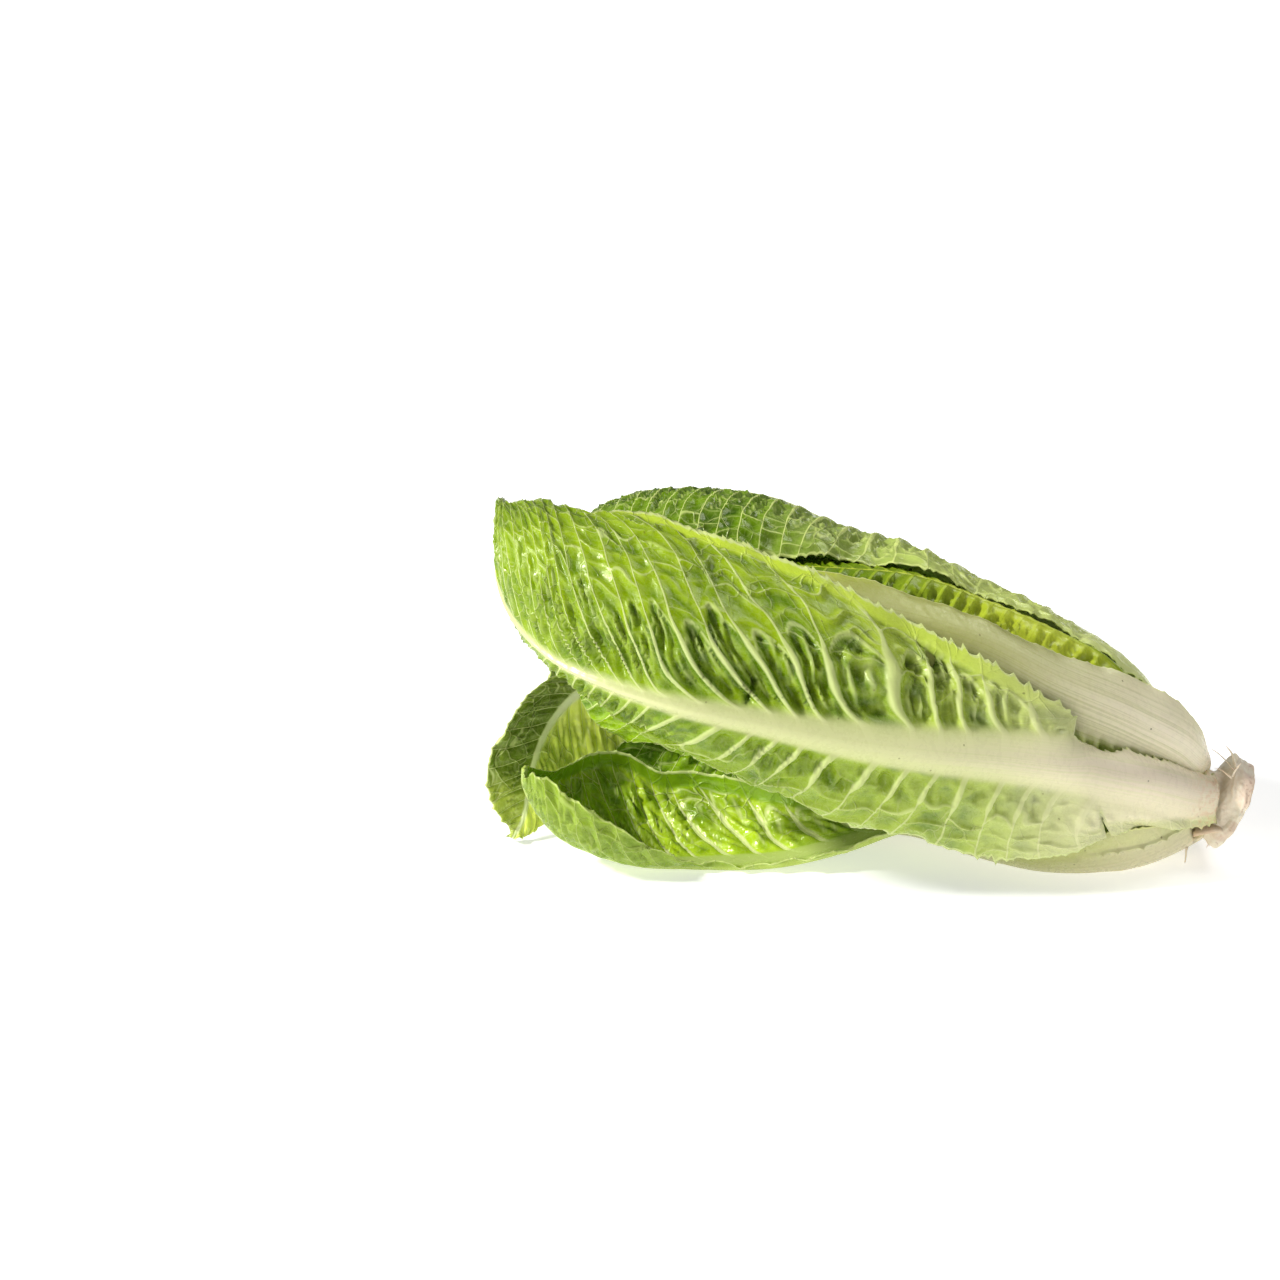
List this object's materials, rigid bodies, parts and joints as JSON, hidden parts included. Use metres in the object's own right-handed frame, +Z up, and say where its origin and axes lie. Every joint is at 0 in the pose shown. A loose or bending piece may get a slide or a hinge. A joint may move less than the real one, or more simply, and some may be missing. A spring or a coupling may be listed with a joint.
{
  "type": "romaine heart",
  "caption": "Romaine lettuce heart lying on its side: upright leaves with broad pale ribs and waved green blades, held by a short cut stem.",
  "frame": {"origin": "middle of the footprint, on the surface the heart lies on", "axes": "+X towards the cut stem end, -X towards the leaf tips, -Y towards the front, +Z up"},
  "size_m": [0.2545, 0.1178, 0.1236],
  "materials": {
    "leaf_green": "satin",
    "leaf_inner_green": "satin",
    "leaf_cream": "satin",
    "leaf_pale": "satin",
    "stem_cream": "matte"
  },
  "bodies": {
    "root": {"stem": "stem_cream", "leaf_front": "leaf_green", "leaf_top": "leaf_cream", "leaf_top_inner": "leaf_inner_green", "leaf_back_top": "leaf_green", "leaf_bottom": "leaf_cream", "leaf_low": "leaf_inner_green", "leaf_low_tip": "leaf_inner_green", "leaf_back": "leaf_green", "leaf_back_low": "leaf_green", "leaf_core": "leaf_pale", "leaf_core_back": "leaf_pale"}
  },
  "joints": []
}
